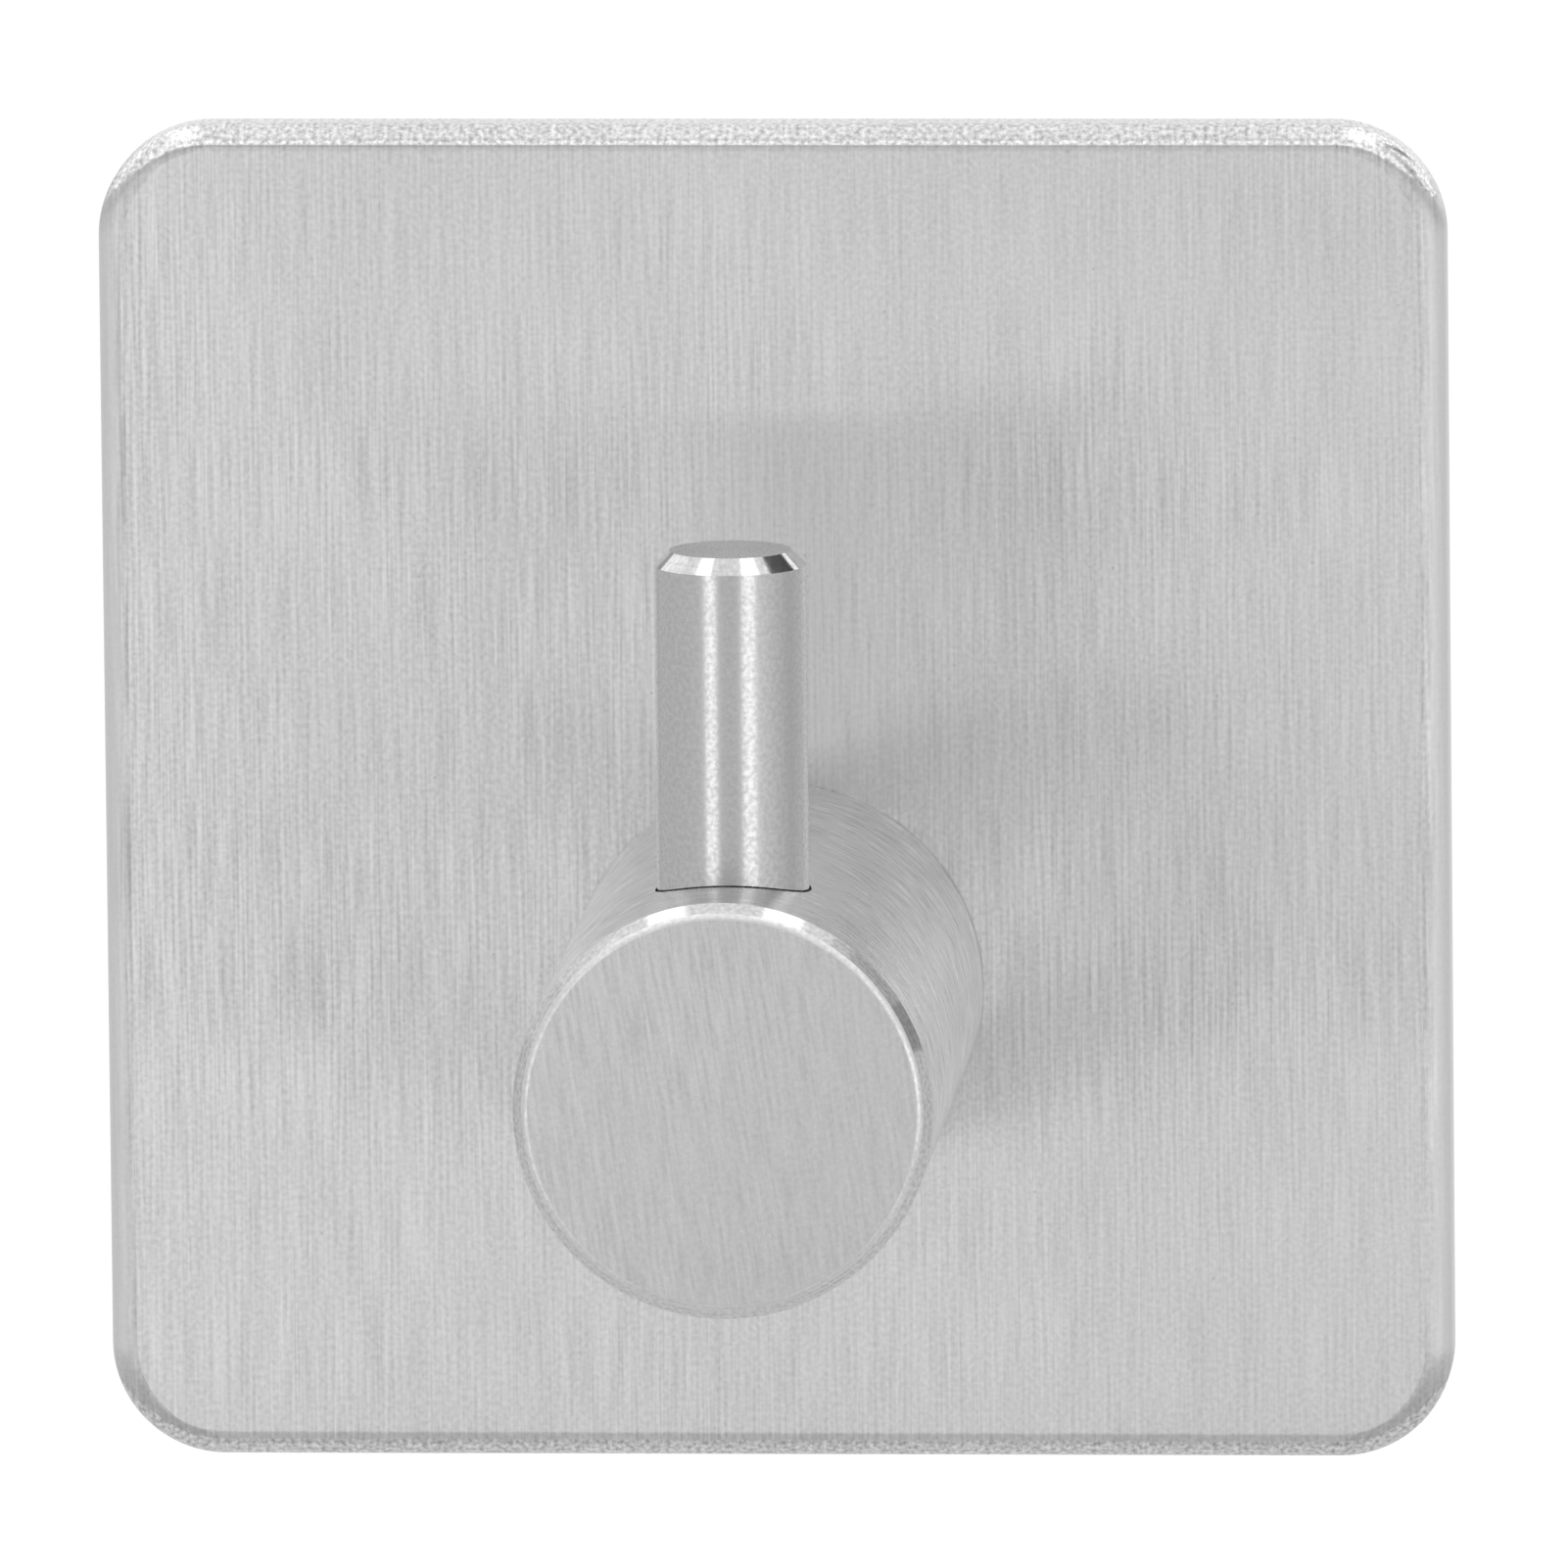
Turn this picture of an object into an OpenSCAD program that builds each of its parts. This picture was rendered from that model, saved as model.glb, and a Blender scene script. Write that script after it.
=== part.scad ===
// Adhesive wall hook: a square sheet-steel pan with a rolled-back rim, held to the wall by foam
// tape. A turned peg stands out of it below the middle, and an upright pin near the peg's face
// keeps whatever hangs on the peg from sliding off.
// Millimetres. The wall is the plane y = 0, the front faces -Y, +Z is up and +X is to the right.
// The origin is the middle of the tape's wall side.

/* [Base plate] */
// Side of the square plate
plate_side = 45; // [34:0.5:80]
// Radius of the plate's corners, seen from the front
plate_corner_radius = 3.8; // [2:0.1:6]
// Depth of the pan, from its face to the edge of its rim
rim_depth = 2; // [1.8:0.1:4]
// Thickness of the steel sheet
sheet_thickness = 0.7; // [0.4:0.05:1]
// Inside radius of the bend between the face and the rim
bend_inner_radius = 0.2; // [0.1:0.05:0.5]
// Width of the broken corners on the rim's sheared edge
rim_edge_break = 0.1; // [0.05:0.01:0.15]

/* [Peg] */
// Diameter of the peg
peg_diameter = 13.8; // [11:0.1:20]
// Length of the peg, from the plate's face to its own face
peg_length = 25.5; // [22:0.5:50]
// Distance of the peg's axis below the middle of the plate
peg_drop = 6.5; // [0:0.1:10]
// Width of the polished chamfer round the peg's face
peg_chamfer = 0.4; // [0.2:0.05:1]
// Radius that eases the edge between that chamfer and the face
peg_edge_radius = 0.35; // [0.1:0.05:0.6]
// Width of the broken edge where the peg meets the plate
peg_back_break = 0.15; // [0.05:0.05:0.4]

/* [Hook pin] */
// Diameter of the pin
pin_diameter = 5; // [4.4:0.1:7]
// Height of the pin's top above the crown of the peg
pin_height = 10.8; // [6:0.2:25]
// Distance of the pin's axis behind the peg's face
pin_setback = 6.2; // [4.5:0.1:9]
// Width of the polished chamfer round the pin's top
pin_chamfer = 0.5; // [0.2:0.05:1]
// Diameter of the spigot that is pressed into the peg
spigot_diameter = 4; // [2.5:0.1:4.5]
// Length of that spigot
spigot_length = 4.5; // [2:0.1:5]
// Width of the lead-in chamfer at the spigot's end
spigot_lead = 0.2; // [0.1:0.05:0.4]
// Depth of the pin's seat under the lowest point of the bore's mouth
seat_depth = 0.1; // [0.05:0.05:0.5]

/* [Fixing screw] */
// Thread diameter of the screw that holds the peg from behind
screw_diameter = 4; // [3:0.5:5]
// Length of the screw under its head
screw_length = 8; // [5:0.5:12]
// Diameter of the screw's low head
screw_head_diameter = 7; // [6:0.1:9]
// Height of the screw's low head
screw_head_height = 0.9; // [0.7:0.1:1.5]
// Width across the flats of the hexagon socket
socket_across_flats = 2.5; // [1.5:0.5:3]
// Depth of the hexagon socket
socket_depth = 0.6; // [0.3:0.05:0.65]
// Outer diameter of the toothed lock washer
washer_diameter = 8; // [7:0.1:10]
// Thickness of the toothed lock washer
washer_thickness = 0.5; // [0.3:0.05:0.8]
// Number of teeth on the lock washer
washer_teeth = 8; // [6:1:12]
// Width of the gaps between the washer's teeth
washer_gap_width = 1; // [0.5:0.1:1.2]
// Depth of the gaps between the washer's teeth
washer_gap_depth = 1; // [0.4:0.1:1.2]

/* [Foam tape] */
// How far the tape stands out behind the rim
tape_proud = 0.3; // [0.2:0.05:1]
// Thickness of each adhesive layer
adhesive_thickness = 0.15; // [0.1:0.01:0.25]
// Gap between the tape's edge and the inside of the rim
tape_edge_gap = 0.8; // [0.3:0.1:3]
// Radius of the tape's corners
tape_corner_radius = 2.5; // [1:0.1:5]
// Gap between the washer and the hole that is cut in the tape for it
tape_hole_gap = 0.75; // [0.3:0.05:2]

/* [Fits] */
// Play between the plate's hole and the screw, all round
hole_play = 0.2; // [0.1:0.05:0.4]
// Play between the screw's thread and the tapped hole, all round
thread_play = 0.025; // [0.01:0.005:0.1]
// Play between the spigot and its bore, all round
press_play = 0.01; // [0.005:0.005:0.02]
// Open seam round the pin where it enters the peg
seam_gap = 0.09; // [0.05:0.01:0.2]

/* [Hidden] */
$fn = 96;
full_turn = 360;
half_turn = full_turn / 2;
quarter_turn = full_turn / 4;
flank_angle = 45;
drill_point_angle = 59;
// Length by which every cut runs past the face that it opens
overrun = 1;

// Distances out from the wall
pan_back = tape_proud;
pan_front = pan_back + rim_depth;
pan_inside = pan_front - sheet_thickness;
peg_face = pan_front + peg_length;
pin_axis = peg_face - pin_setback;

// Plate
bend_outer_radius = bend_inner_radius + sheet_thickness;
flat_corner_radius = plate_corner_radius - bend_outer_radius;
corner_centre = plate_side / 2 - plate_corner_radius;
plate_hole_radius = screw_diameter / 2 + hole_play;

// Peg and its holes
peg_radius = peg_diameter / 2;
peg_face_radius = peg_radius - peg_chamfer;
edge_tangent = peg_edge_radius * tan(flank_angle / 2);
tapped_radius = screw_diameter / 2 + thread_play;
tip_relief = tapped_radius / 2;
tapped_depth = screw_length - washer_thickness - sheet_thickness + tip_relief;

// Heights above the peg's axis. The mouth of the pin's bore is deep enough to be a full circle
// on the peg's round side, and its floor is the pin's seat.
pin_radius = pin_diameter / 2;
spigot_radius = spigot_diameter / 2;
mouth_radius = pin_radius + seam_gap;
pin_seat = sqrt(pow(peg_radius, 2) - pow(mouth_radius, 2)) - seat_depth;
pin_free_start = peg_radius + seam_gap / 2;
pin_top = peg_radius + pin_height;
seat_radius = pin_radius - seam_gap / 2;
bore_depth = spigot_length + spigot_lead;

// Screw and washer
head_back = pan_inside - washer_thickness - screw_head_height;
head_edge_break = screw_head_height / 4;
socket_sides = 6;
socket_diameter = socket_across_flats / cos(half_turn / socket_sides);
screw_tip_break = screw_diameter / 8;
washer_hole_radius = screw_diameter / 2 + hole_play;

// Tape
tape_side = plate_side - 2 * (sheet_thickness + tape_edge_gap);
tape_hole_radius = washer_diameter / 2 + tape_hole_gap;
foam_thickness = pan_inside - 2 * adhesive_thickness;

// Lays a shape on the wall: its own z then points out of the wall and its own y points up.
module on_wall(distance = 0, drop = 0) {
    translate([0, -distance, -drop])
        rotate([quarter_turn, 0, 0])
            children();
}

// Stands a shape on the pin's axis, with heights counted from the peg's axis.
module on_pin_axis() {
    translate([0, -pin_axis, -peg_drop])
        children();
}

module rounded_square(side, radius) {
    inner = side - 2 * radius;
    square([side, inner], center = true);
    square([inner, side], center = true);
    for (x = [-inner / 2, inner / 2], y = [-inner / 2, inner / 2])
        translate([x, y])
            circle(radius);
}

// Section of the bend and the rim: x runs outwards from the flat face, y out from the wall.
module rim_section() {
    inside = bend_outer_radius - sheet_thickness;
    bend_back = pan_front - bend_outer_radius;
    translate([0, bend_back])
        intersection() {
            difference() {
                circle(bend_outer_radius);
                circle(bend_inner_radius);
            }
            square(bend_outer_radius + overrun);
        }
    polygon([
        [inside, bend_back],
        [inside, pan_back + rim_edge_break],
        [inside + rim_edge_break, pan_back],
        [bend_outer_radius - rim_edge_break, pan_back],
        [bend_outer_radius, pan_back + rim_edge_break],
        [bend_outer_radius, bend_back]
    ]);
}

// Stamped pan: a flat face, four straight rims and four corners where the same section turns.
module base_plate() {
    color("lightgray")
        difference() {
            on_wall() {
                translate([0, 0, pan_inside])
                    linear_extrude(sheet_thickness)
                        rounded_square(plate_side - 2 * bend_outer_radius, flat_corner_radius);
                for (side = [0 : 3])
                    rotate(side * quarter_turn) {
                        translate([plate_side / 2 - bend_outer_radius, 0, 0])
                            rotate([quarter_turn, 0, 0])
                                linear_extrude(2 * corner_centre, center = true)
                                    rim_section();
                        translate([corner_centre, corner_centre, 0])
                            rotate_extrude(angle = quarter_turn)
                                translate([flat_corner_radius, 0])
                                    rim_section();
                    }
            }
            on_wall(0, peg_drop)
                translate([0, 0, pan_inside - overrun])
                    cylinder(h = sheet_thickness + 2 * overrun, r = plate_hole_radius);
        }
}

// Half section of the peg: a broken back edge, a chamfer and an eased edge round the face.
module peg_section() {
    face_edge = [peg_face_radius - edge_tangent, peg_face];
    ease_centre = [face_edge[0], peg_face - peg_edge_radius];
    chamfer_edge = ease_centre + peg_edge_radius * [cos(flank_angle), sin(flank_angle)];
    reach = 2 * peg_edge_radius;
    polygon([
        [0, pan_front],
        [peg_radius - peg_back_break, pan_front],
        [peg_radius, pan_front + peg_back_break],
        [peg_radius, peg_face - peg_chamfer],
        chamfer_edge,
        face_edge,
        [0, peg_face]
    ]);
    translate(ease_centre)
        intersection() {
            circle(peg_edge_radius);
            polygon([[0, 0], reach * [cos(flank_angle), sin(flank_angle)], [0, reach]]);
        }
}

// A drilled hole that points along +Z, with the cone that the drill leaves at its end.
module drilled_hole(radius, depth) {
    translate([0, 0, -overrun])
        cylinder(h = depth + overrun, r = radius);
    translate([0, 0, depth])
        cylinder(h = radius / tan(drill_point_angle), r1 = radius, r2 = 0);
}

module peg() {
    color("silver")
        difference() {
            on_wall(0, peg_drop)
                rotate_extrude()
                    peg_section();
            on_wall(pan_front, peg_drop)
                drilled_hole(tapped_radius, tapped_depth);
            on_pin_axis()
                translate([0, 0, pin_seat])
                    mirror([0, 0, 1])
                        drilled_hole(spigot_radius + press_play, bore_depth);
            on_pin_axis()
                translate([0, 0, pin_seat])
                    cylinder(h = peg_radius + overrun - pin_seat, r = mouth_radius);
        }
}

// Upright pin: a pressed spigot, a slow taper that beds in the mouth of the bore, then the free
// shank with its chamfered top.
module hook_pin() {
    spigot_end = pin_seat - spigot_length;
    color("gainsboro")
        on_pin_axis()
            rotate_extrude()
                polygon([
                    [0, spigot_end],
                    [spigot_radius - spigot_lead, spigot_end],
                    [spigot_radius, spigot_end + spigot_lead],
                    [spigot_radius, pin_seat],
                    [seat_radius, pin_seat],
                    [pin_radius, pin_free_start],
                    [pin_radius, pin_top - pin_chamfer],
                    [pin_radius - pin_chamfer, pin_top],
                    [0, pin_top]
                ]);
}

// Low-headed screw from behind, with a hexagon socket. The shank is at its thread diameter.
module fixing_screw() {
    head_radius = screw_head_diameter / 2;
    shank_radius = screw_diameter / 2;
    head_front = head_back + screw_head_height;
    tip = head_front + screw_length;
    color("darkgray")
        difference() {
            on_wall(0, peg_drop)
                rotate_extrude()
                    polygon([
                        [0, head_back],
                        [head_radius - head_edge_break, head_back],
                        [head_radius, head_back + head_edge_break],
                        [head_radius, head_front],
                        [shank_radius, head_front],
                        [shank_radius, tip - screw_tip_break],
                        [shank_radius - screw_tip_break, tip],
                        [0, tip]
                    ]);
            on_wall(head_back, peg_drop)
                translate([0, 0, -overrun])
                    cylinder(h = socket_depth + overrun, d = socket_diameter, $fn = socket_sides);
        }
}

// Flat washer with gaps cut into its rim, so that the teeth between them bite into the plate.
module lock_washer() {
    washer_radius = washer_diameter / 2;
    color("darkgray")
        on_wall(pan_inside - washer_thickness, peg_drop)
            linear_extrude(washer_thickness)
                difference() {
                    circle(washer_radius);
                    circle(washer_hole_radius);
                    for (tooth = [1 : washer_teeth])
                        rotate(tooth * full_turn / washer_teeth)
                            translate([washer_radius - washer_gap_depth, -washer_gap_width / 2])
                                square([washer_gap_depth + overrun, washer_gap_width]);
                }
}

// One layer of the tape, with its corners rounded and the hole for the screw's head.
module tape_layer(distance, thickness) {
    on_wall(distance)
        linear_extrude(thickness)
            difference() {
                rounded_square(tape_side, tape_corner_radius);
                translate([0, -peg_drop])
                    circle(tape_hole_radius);
            }
}

module plate_adhesive() {
    color("whitesmoke")
        tape_layer(adhesive_thickness + foam_thickness, adhesive_thickness);
}

module foam_core() {
    color("dimgray")
        tape_layer(adhesive_thickness, foam_thickness);
}

module wall_adhesive() {
    color("whitesmoke")
        tape_layer(0, adhesive_thickness);
}

base_plate();
peg();
hook_pin();
fixing_screw();
lock_washer();
plate_adhesive();
foam_core();
wall_adhesive();
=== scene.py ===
# %% [markdown]
# # Adhesive wall hook
# A square pan of brushed stainless sheet sticks to the wall with foam tape. A turned peg stands out
# of it, and an upright pin near the peg's face keeps hung things from sliding off.
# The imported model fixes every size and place. This lesson gives it its finish: meshes fine enough
# for bright chamfers, steel that carries the marks of its tools, and the light that steel needs.

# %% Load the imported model
import math

import bpy
from mathutils import Matrix, Vector


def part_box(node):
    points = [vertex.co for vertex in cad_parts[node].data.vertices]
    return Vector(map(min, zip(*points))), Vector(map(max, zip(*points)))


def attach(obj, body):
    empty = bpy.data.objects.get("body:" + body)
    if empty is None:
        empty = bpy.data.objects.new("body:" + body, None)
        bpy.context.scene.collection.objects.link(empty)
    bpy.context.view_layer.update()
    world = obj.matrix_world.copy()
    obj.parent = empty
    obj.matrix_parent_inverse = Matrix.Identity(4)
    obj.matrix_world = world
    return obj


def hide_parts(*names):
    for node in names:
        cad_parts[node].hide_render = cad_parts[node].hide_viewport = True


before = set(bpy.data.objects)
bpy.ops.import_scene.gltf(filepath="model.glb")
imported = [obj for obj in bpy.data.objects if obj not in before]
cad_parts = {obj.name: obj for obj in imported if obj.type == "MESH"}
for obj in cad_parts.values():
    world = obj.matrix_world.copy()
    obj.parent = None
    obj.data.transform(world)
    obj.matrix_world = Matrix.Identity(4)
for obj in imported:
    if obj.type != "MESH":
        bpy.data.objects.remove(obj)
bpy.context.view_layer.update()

print("CAD nodes:", ", ".join(sorted(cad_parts)))

# %% [markdown]
# ## Sizes
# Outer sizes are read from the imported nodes, so they can't drift from the model. A box says nothing
# about small radii and gaps inside a node, so these are named with each piece, in millimetres.
# Distances "out" are counted from the wall, and heights from the middle of the plate.

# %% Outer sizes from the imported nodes
MM = 0.001
plate_low, plate_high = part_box("base_plate")
peg_low, peg_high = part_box("peg")
pin_low, pin_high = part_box("hook_pin")
screw_low, screw_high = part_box("fixing_screw")
washer_low, washer_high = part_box("lock_washer")

plate_side = plate_high.x - plate_low.x
plate_front = -plate_low.y
plate_back = -plate_high.y
peg_radius = (peg_high.x - peg_low.x) / 2
peg_height = (peg_high.z + peg_low.z) / 2
peg_front = -peg_low.y
pin_radius = (pin_high.x - pin_low.x) / 2
pin_out = -(pin_high.y + pin_low.y) / 2
pin_top = pin_high.z
screw_back = -screw_high.y
screw_tip = -screw_low.y
head_radius = (screw_high.x - screw_low.x) / 2
washer_radius = (washer_high.x - washer_low.x) / 2
print(f"plate {plate_side / MM:.1f} mm, peg {2 * peg_radius / MM:.1f} mm, pin {2 * pin_radius / MM:.1f} mm")

# %% [markdown]
# ## Two helpers for nodes
# Shaders and Geometry Nodes are both trees of nodes. One small function adds a node, sets its
# properties and fills its inputs, either with a plain value or with a link from another node. Inputs
# that share a name go by number: a Mix node's 2 and 3 are its two numbers, and 6 and 7 its two
# colours. A second function turns the hex colours, which are as a screen shows them, to linear ones.

# %% Nodes and colours
def add(tree, kind, inputs=None, **settings):
    """Adds a node. Inputs go by name or number, and take a value, a socket or a node's first output."""
    made = tree.nodes.new(kind)
    for name, value in settings.items():
        setattr(made, name, value)
    for key, value in (inputs or {}).items():
        if isinstance(value, bpy.types.Node):
            value = value.outputs[0]
        if isinstance(value, bpy.types.NodeSocket):
            tree.links.new(value, made.inputs[key])
        else:
            made.inputs[key].default_value = value
    return made


def linear(code):
    """Turns an sRGB hex value into the linear colour that a shader works with."""
    parts = [int(code[place:place + 2], 16) / 255 for place in (1, 3, 5)]
    return [c / 12.92 if c <= 0.04045 else ((c + 0.055) / 1.055) ** 2.4 for c in parts] + [1.0]


# %% [markdown]
# ## Steel with tool marks
# Every visible face of this hook was cut by many fine points that all ran one way: brushing on the
# sheet, turning on the peg and pin. Such a face spreads light across its marks and hardly along
# them. That could be painted with streaks alone, but then the reflections would be wrong. Here an
# anisotropic metal does it, with streaks on top, and both read one UV map named grain. Its U runs
# across the marks and its V along them, in metres, so a pattern's scale is a real size.
# Noises make the marks: fine lines that come and go in patches, the wider bands that a worn belt
# leaves, an even grit, and slow clouds. Flaws lie on top: stretched cells give scratches, and round
# ones give pits.

# %% Tool marks as a pattern
# Real grit is a few hundredths of a millimetre, too fine to show, so it is drawn coarser.
grit_size = 0.17 * MM
cloud_size = 8 * MM
cloud_share = 0.06
# How strongly the fine lines show, from the patches where they fade to those where they stand out.
patch_size = 14 * MM
patch_range = (0.35, 0.7)
middle_tone = 0.5
# A band is this many times as wide and as long as a mark.
band_growth = (7, 2.5)
# Nearly all of a noise's values lie between these two.
noise_range = (0.33, 0.67)
noise_detail = 1.5


def tool_marks(tree, mark, bands, grit, flaws):
    """Adds the pattern of a tool's marks. It is 0 where they are darkest and 1 where they are lightest.

    mark is a mark's width and length, and bands and grit say how far these cover what lies under them.
    A flaw is its cell's width, length and lean, its reach as a share of the cell, and its change of tone.
    """
    grain = add(tree, "ShaderNodeUVMap", uv_map="grain")
    noises = []
    for across, along in (
        mark,
        (patch_size, patch_size),
        (mark[0] * band_growth[0], mark[1] * band_growth[1]),
        (grit_size, grit_size),
        (cloud_size, cloud_size),
    ):
        place = add(
            tree,
            "ShaderNodeMapping",
            {"Vector": grain, "Scale": (across, along, 1)},
            vector_type="TEXTURE",
        )
        noise = add(
            tree,
            "ShaderNodeTexNoise",
            {"Vector": place, "Scale": 1.0, "Detail": noise_detail},
            noise_dimensions="2D",
        )
        noises.append(noise)
    lines, patches = noises[:2]
    patchy = add(
        tree,
        "ShaderNodeMapRange",
        {
            "Value": patches,
            "From Min": noise_range[0],
            "From Max": noise_range[1],
            "To Min": patch_range[0],
            "To Max": patch_range[1],
        },
    )
    marks = add(tree, "ShaderNodeMix", {"Factor": patchy, 2: middle_tone, 3: lines})
    for noise, share in zip(noises[2:], (bands, grit, cloud_share)):
        marks = add(tree, "ShaderNodeMix", {"Factor": share, 2: marks, 3: noise})
    marks = add(
        tree,
        "ShaderNodeMapRange",
        {"Value": marks, "From Min": noise_range[0], "From Max": noise_range[1]},
    )
    for across, along, lean, reach, change in flaws:
        place = add(
            tree,
            "ShaderNodeMapping",
            {"Vector": grain, "Rotation": (0, 0, math.radians(lean)), "Scale": (across, along, 1)},
            vector_type="TEXTURE",
        )
        cells = add(tree, "ShaderNodeTexVoronoi", {"Vector": place, "Scale": 1.0}, voronoi_dimensions="2D")
        flaw = add(
            tree,
            "ShaderNodeMapRange",
            {"Value": cells.outputs["Distance"], "From Max": reach, "To Min": change, "To Max": 0.0},
        )
        marks = add(tree, "ShaderNodeMath", {0: marks, 1: flaw}, operation="ADD", use_clamp=True)
    return marks


# %% One steel, many finishes
# A paler tone, a painted sheen: the plate's side bends are painted towards it, in place of the light they
# mirror.
painted_sheen_tone = "#e8e8e8"
roughness_swing = 0.2


def marked_steel(name, tones, mark, roughness, spread, relief=0.0, bands=0.1, grit=0.5, flaws=()):
    """Stainless steel whose marks run along the grain map's V. Light spreads across the marks.

    tones are the darkest and the lightest sRGB tone, and spread is how much wider light spreads across
    the marks than along them. Where a piece has an attribute named painted_sheen, that share of the tone
    is the paler painted sheen tone, a painted sheen in place of light.
    """
    material = bpy.data.materials.new(name)
    material.use_nodes = True
    tree = material.node_tree
    marks = tool_marks(tree, mark, bands, grit, flaws)
    tone = add(
        tree,
        "ShaderNodeMix",
        {"Factor": marks, 6: linear(tones[0]), 7: linear(tones[1])},
        data_type="RGBA",
    )
    # Painted sheen: where a piece has this attribute, its tone is painted paler by that share.
    painted_sheen = add(tree, "ShaderNodeAttribute", attribute_name="painted_sheen")
    tone = add(
        tree,
        "ShaderNodeMix",
        {"Factor": painted_sheen.outputs["Fac"], 6: tone.outputs[2], 7: linear(painted_sheen_tone)},
        data_type="RGBA",
    )
    rough = add(
        tree,
        "ShaderNodeMapRange",
        {
            "Value": marks,
            "To Min": roughness * (1 + roughness_swing),
            "To Max": roughness * (1 - roughness_swing),
        },
    )
    bump = add(tree, "ShaderNodeBump", {"Height": marks, "Strength": 1.0, "Distance": relief})
    tangent = add(tree, "ShaderNodeTangent", direction_type="UV_MAP", uv_map="grain")
    shader = tree.nodes["Principled BSDF"]
    shader.inputs["Metallic"].default_value = 1.0
    shader.inputs["Anisotropic"].default_value = spread
    tree.links.new(tone.outputs[2], shader.inputs["Base Color"])
    for socket, source in (("Roughness", rough), ("Normal", bump), ("Tangent", tangent)):
        tree.links.new(source.outputs[0], shader.inputs[socket])
    return material


# %% Finishes of the sheet's front
long_scratches = (0.5 * MM, 90 * MM, 0, 0.045, 0.35)
faint_scuffs = (2 * MM, 150 * MM, 50, 0.02, -0.2)
dark_pits = (7 * MM, 7 * MM, 0, 0.008, -1.0)
# A belt's hairlines, drawn a little wider than real ones, so that they show.
hairline = (0.12 * MM, 4.2 * MM)

# Fine upright hairlines on an even grit, with a few long scratches, faint scuffs and dark pits.
brushed_sheet = marked_steel(
    "hairline_brushed_stainless_sheet",
    ("#b5b5b5", "#e0e0e0"),
    hairline,
    roughness=0.22,
    spread=1.0,
    relief=0.0006 * MM,
    grit=0.26,
    flaws=(long_scratches, faint_scuffs, dark_pits),
)
# Bends across the hairlines: stretched over the tool, which opens the lines into an even sparkle.
stretched_bend = marked_steel(
    "stretched_stainless_bend",
    ("#a6a6a6", "#f0f0f0"),
    (0.13 * MM, 1 * MM),
    roughness=0.25,
    spread=0.0,
    relief=0.0006 * MM,
    grit=0.6,
)
# Bends along the hairlines, at the sides: the lines stay, a little rougher, and the painted sheen makes
# them paler.
sheen_painted_side_bend = marked_steel(
    "stainless_side_bend_with_painted_sheen",
    ("#b4b4b4", "#dedede"),
    hairline,
    roughness=0.40,
    spread=1.0,
    relief=0.0006 * MM,
    grit=0.26,
)
print("finishes:", ", ".join(finish.name for finish in (brushed_sheet, stretched_bend, sheen_painted_side_bend)))

# %% Finishes of the peg and the pin
bright_nicks = (2.5 * MM, 8 * MM, 0, 0.08, 0.6)
short_scratches = (1.2 * MM, 40 * MM, 0, 0.03, 0.4)

# A satin side. The view shortens its length six times, so its turning marks are drawn coarse.
turned_bar = marked_steel(
    "turned_stainless_bar",
    ("#a8a8a8", "#f4f4f4"),
    (0.24 * MM, 1.2 * MM),
    roughness=0.23,
    spread=0.9,
    relief=0.0005 * MM,
    grit=0.2,
    flaws=(bright_nicks,),
)
# A nearly clear mirror with the faint grit of a polishing wheel.
polished_chamfer = marked_steel(
    "polished_stainless_chamfer",
    ("#b8b8b8", "#dcdcdc"),
    (0.05 * MM, 4 * MM),
    roughness=0.11,
    spread=0.4,
)
# The eased ring round the face: softer than the chamfer, so it catches light nearly all the way round.
eased_edge = marked_steel(
    "eased_stainless_edge",
    ("#c8c8c8", "#e0e0e0"),
    (0.2 * MM, 2 * MM),
    roughness=0.42,
    spread=0.0,
)
# Short, faint brush marks that lean a little, with some bright scratches among them.
brushed_end = marked_steel(
    "brushed_stainless_end_face",
    ("#b0b0b0", "#d2d2d2"),
    (0.14 * MM, 2 * MM),
    roughness=0.30,
    spread=0.8,
    relief=0.0005 * MM,
    grit=0.25,
    flaws=(short_scratches,),
)
# A smooth, fine-grained grey satin that draws the two softboxes in front as two upright streaks.
satin_rod = marked_steel(
    "satin_turned_stainless_rod",
    ("#bbbbbb", "#c8c8c8"),
    (0.09 * MM, 1 * MM),
    roughness=0.26,
    spread=0.5,
    relief=0.0001 * MM,
    grit=0.9,
)
# Rough from the drill, and painted dark grey as painted shade, because light hardly comes back out of a
# bore or a seam.
shade_painted_bore = marked_steel(
    "bore_painted_dark_as_shade",
    ("#3c3c3c", "#848484"),
    (0.08 * MM, 2 * MM),
    roughness=0.55,
    spread=0.3,
)
peg_finishes = [turned_bar, polished_chamfer, eased_edge, brushed_end, shade_painted_bore]
pin_finishes = [satin_rod, polished_chamfer, shade_painted_bore]
print(f"{len(peg_finishes)} finishes for the peg, {len(pin_finishes)} for the pin")

# %% Finishes of the hidden steel
# The pan's inside was never brushed: a plain, even mill finish.
mill_sheet = marked_steel(
    "mill_finish_stainless_sheet",
    ("#9c9c9c", "#bababa"),
    (0.2 * MM, 1 * MM),
    roughness=0.42,
    spread=0.2,
    relief=0.0003 * MM,
)
# The rim's end shows the short, torn marks of the shear.
sheared_edge = marked_steel(
    "sheared_stainless_edge",
    ("#747474", "#c8c8c8"),
    (0.06 * MM, 0.5 * MM),
    roughness=0.45,
    spread=0.5,
    relief=0.002 * MM,
    grit=0.2,
)
# Bright cold-headed wire, a little smeared by the die.
screw_steel = marked_steel(
    "cold_headed_stainless_screw",
    ("#969696", "#cacaca"),
    (0.06 * MM, 1 * MM),
    roughness=0.3,
    spread=0.4,
    relief=0.0004 * MM,
)
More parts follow.
